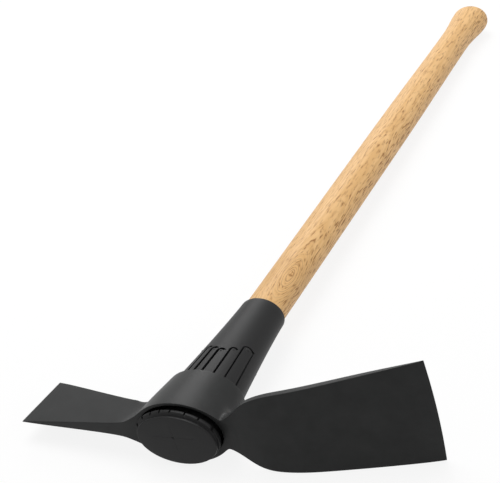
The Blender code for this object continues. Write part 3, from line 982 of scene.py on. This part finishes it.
def varnished_wood():
    """Light wood with a knot near the sleeve, growth rings and dark fleck dashes, denser on the side away from the
    main light as painted shade, under clear varnish.
    """
    material, graph, shader = new_finish("varnished_wood")
    calc, spread = graph.calc, graph.spread
    place = graph.place()
    centred = graph.add("ShaderNodeMapping")
    graph.give(centred, {"Vector": place, "Location": [-value for value in FIGURE_PLACE]})
    from_centre = centred.outputs["Vector"]
    across, along, deep = graph.add("ShaderNodeSeparateXYZ", from_centre).outputs
    # Along the handle the figure closes round its centre, and farther off its rings run straight
    scaled = calc("DIVIDE", along, FIGURE_REACH)
    root = calc("SQRT", calc("ADD", calc("MULTIPLY", scaled, scaled), 1.0))
    held = calc("MULTIPLY", calc("DIVIDE", along, root), FIGURE_FLATTENING)
    waver = calc("MULTIPLY", graph.noise(place, *WAVER_PATTERN), RING_WAVER)
    radius = calc("ADD", graph.length(graph.vector(across, held, deep)), waver)
    wave = calc("SINE", calc("MULTIPLY", radius, 2 * pi / RING_SPACING))
    rings = calc("MULTIPLY_ADD", wave, 0.5, 0.5)
    # The flecks are narrow across the rings, three times as wide along them, and long in the fibres
    fibres = graph.vector(
        calc("MULTIPLY", radius, 1 / FLECK_WIDTH),
        calc("MULTIPLY", along, 1 / FLECK_LENGTH),
        calc("MULTIPLY", across, 1 / (3 * FLECK_WIDTH)),
    )
    dashes = graph.noise(fibres, *FLECK_PATTERN)
    patches = graph.noise(place, *PATCH_PATTERN)
    # More of them show on the side that faces away from the main light: painted shade, laid over the wood's own
    # flecks
    level = calc("ADD", dashes, spread(across, 0.0, PAINTED_SHADE_FLECKS_ADD, 0.0, PAINTED_SHADE_REACH))
    level = calc("MULTIPLY_ADD", patches, PATCH_ADDS, level)
    flecks_and_painted_shade = spread(level, 0.0, 1.0, *FLECK_LEVELS)
    faint = spread(dashes, 0.0, FAINT_SHARE, *FAINT_LEVELS)
    # Round the figure's centre the rings stand out, and a small knot sits in it
    away = graph.length(from_centre)
    ruffled = calc("MULTIPLY_ADD", dashes, KNOT_WAVER, away)
    knot = spread(ruffled, 1.0, 0.0, KNOT_RADIUS, KNOT_RADIUS + KNOT_EDGE)
    thin = spread(rings, 0.0, 1.0, *LINE_LEVELS)
    lines = calc("MULTIPLY", spread(away, LINE_SHARE, 0.0, *LINE_REACH), thin)
    # The marks carry painted shade too: the denser flecks on the side away from the main light
    marks_and_painted_shade = calc("MAXIMUM", calc("MAXIMUM", flecks_and_painted_shade, calc("MAXIMUM", knot, lines)), faint)
    tinge = graph.ramp(patches, *PATCH_TONES)
    tinted = graph.blend("MULTIPLY", graph.ramp(rings, *RING_TONES), tinge, 1.0)
    share = calc("MULTIPLY", marks_and_painted_shade, MARK_SHARE)
    values = {
        "Base Color": graph.blend("MIX", tinted, MARK_AND_PAINTED_SHADE_COLOUR, share),
        "Roughness": spread(dashes, *WOOD_ROUGHNESS),
        "Normal": graph.relief(dashes, *WOOD_RELIEF),
        "Specular IOR Level": WOOD_SPECULAR,
    }
    graph.give(shader, values)
    return material


def dress_solids():
    """Gives the two pieces that are shown as packed their finishes."""
    for name, material in (("wood_handle", varnished_wood()), ("retaining_pin", bright_steel())):
        piece = frame["nodes"][name]
        piece.data.materials.clear()
        piece.data.materials.append(material)


# The studio


WHITE = (1, 1, 1, 1)
WORLD_LEVEL = 0.30

# The floor in metres, its colour, and the share of its own shading that the camera sees
FLOOR_SIZE = 12.0
FLOOR_COLOUR = (0.86, 0.86, 0.86, 1)
FLOOR_ROUGHNESS = 0.9
FLOOR_SHADING = 0.13

# Square lamps: place and aim in metres on the floor's axes, size in metres and power in watts
LAMPS = (
    ("key_light", (-0.45, 0.3, 2.2), (0, 0, 0), 1.6, 45),
    ("back_light", (-0.85, 1.3, 1.0), (0, -0.3, 0), 0.7, 7),
    ("side_light", (2.0, -0.5, 1.1), (0, 0, 0), 1.2, 9),
)

# The photograph: its width and the focal length that its perspective gives, both in pixels, and
# the width of the camera's sensor in millimetres
PHOTO_WIDTH = 500
FOCAL_PIXELS = 1200
SENSOR_WIDTH = 36.0
# The camera's right, down and forward directions in tool axes, and the tool's origin seen from it
CAMERA_RIGHT = (0.8759, 0.25843, 0.40745)
CAMERA_DOWN = (-0.00774, 0.85189, -0.52367)
CAMERA_FORWARD = (-0.48243, 0.45553, 0.74817)
TOOL_FROM_CAMERA = (-62.7 * MM, 166.31 * MM, 1009.48 * MM)


def pale_floor():
    """A surface that the camera and mirrors see almost white, with some of its own shading left."""
    material, graph, shader = new_finish("pale_floor")
    graph.give(shader, {"Base Color": FLOOR_COLOUR, "Roughness": FLOOR_ROUGHNESS})
    glow = graph.add("ShaderNodeEmission", WHITE)
    share = graph.calc("MULTIPLY", graph.seen_directly(), 1 - FLOOR_SHADING)
    both = graph.add("ShaderNodeMixShader", share, shader.outputs[0], glow.outputs[0])
    graph.give(graph.nodes["Material Output"], {"Surface": both.outputs[0]})
    return material


def lay_floor():
    deselect()
    bpy.ops.mesh.primitive_plane_add(size=FLOOR_SIZE)
    floor = bpy.context.object
    floor.name = "floor"
    floor.data.materials.append(pale_floor())


def light_world():
    """A world that is white to look at and lights the object at a low, even level."""
    world = bpy.data.worlds.new("studio")
    bpy.context.scene.world = world
    world.use_nodes = True
    graph = Graph(world.node_tree)
    level = graph.spread(graph.seen_directly(), WORLD_LEVEL, 1.0)
    graph.give(graph.nodes["Background"], {"Color": WHITE, "Strength": level})


def add_softbox(name, place, aim, size, power):
    """A square lamp at its place on the floor's axes, turned to its aim."""
    lamp = bpy.data.lights.new(name, "AREA")
    lamp.shape = "SQUARE"
    lamp.size = size
    lamp.energy = power
    item = bpy.data.objects.new(name, lamp)
    bpy.context.collection.objects.link(item)
    item.location = place
    item.rotation_euler = (Vector(aim) - Vector(place)).to_track_quat("-Z", "Y").to_euler()


def set_camera():
    """The camera at the photograph's place, direction and focal length."""
    right, down, forward = map(Vector, (CAMERA_RIGHT, CAMERA_DOWN, CAMERA_FORWARD))
    x, y, z = TOOL_FROM_CAMERA
    place = -(right * x + down * y + forward * z)
    turn = Matrix((right, -down, -forward)).transposed().to_4x4()
    camera = bpy.data.cameras.new("camera")
    camera.sensor_fit = "HORIZONTAL"
    camera.sensor_width = SENSOR_WIDTH
    camera.lens = SENSOR_WIDTH * FOCAL_PIXELS / PHOTO_WIDTH
    item = bpy.data.objects.new("camera", camera)
    bpy.context.collection.objects.link(item)
    item.matrix_world = TOOL @ Matrix.Translation(place) @ turn
    bpy.context.scene.camera = item


build_head(coated_steel())
build_sleeve(black_polymer())
dress_solids()
lay_floor()
light_world()
set_camera()
for lamp in LAMPS:
    add_softbox(*lamp)
bpy.context.scene.view_settings.view_transform = "Standard"
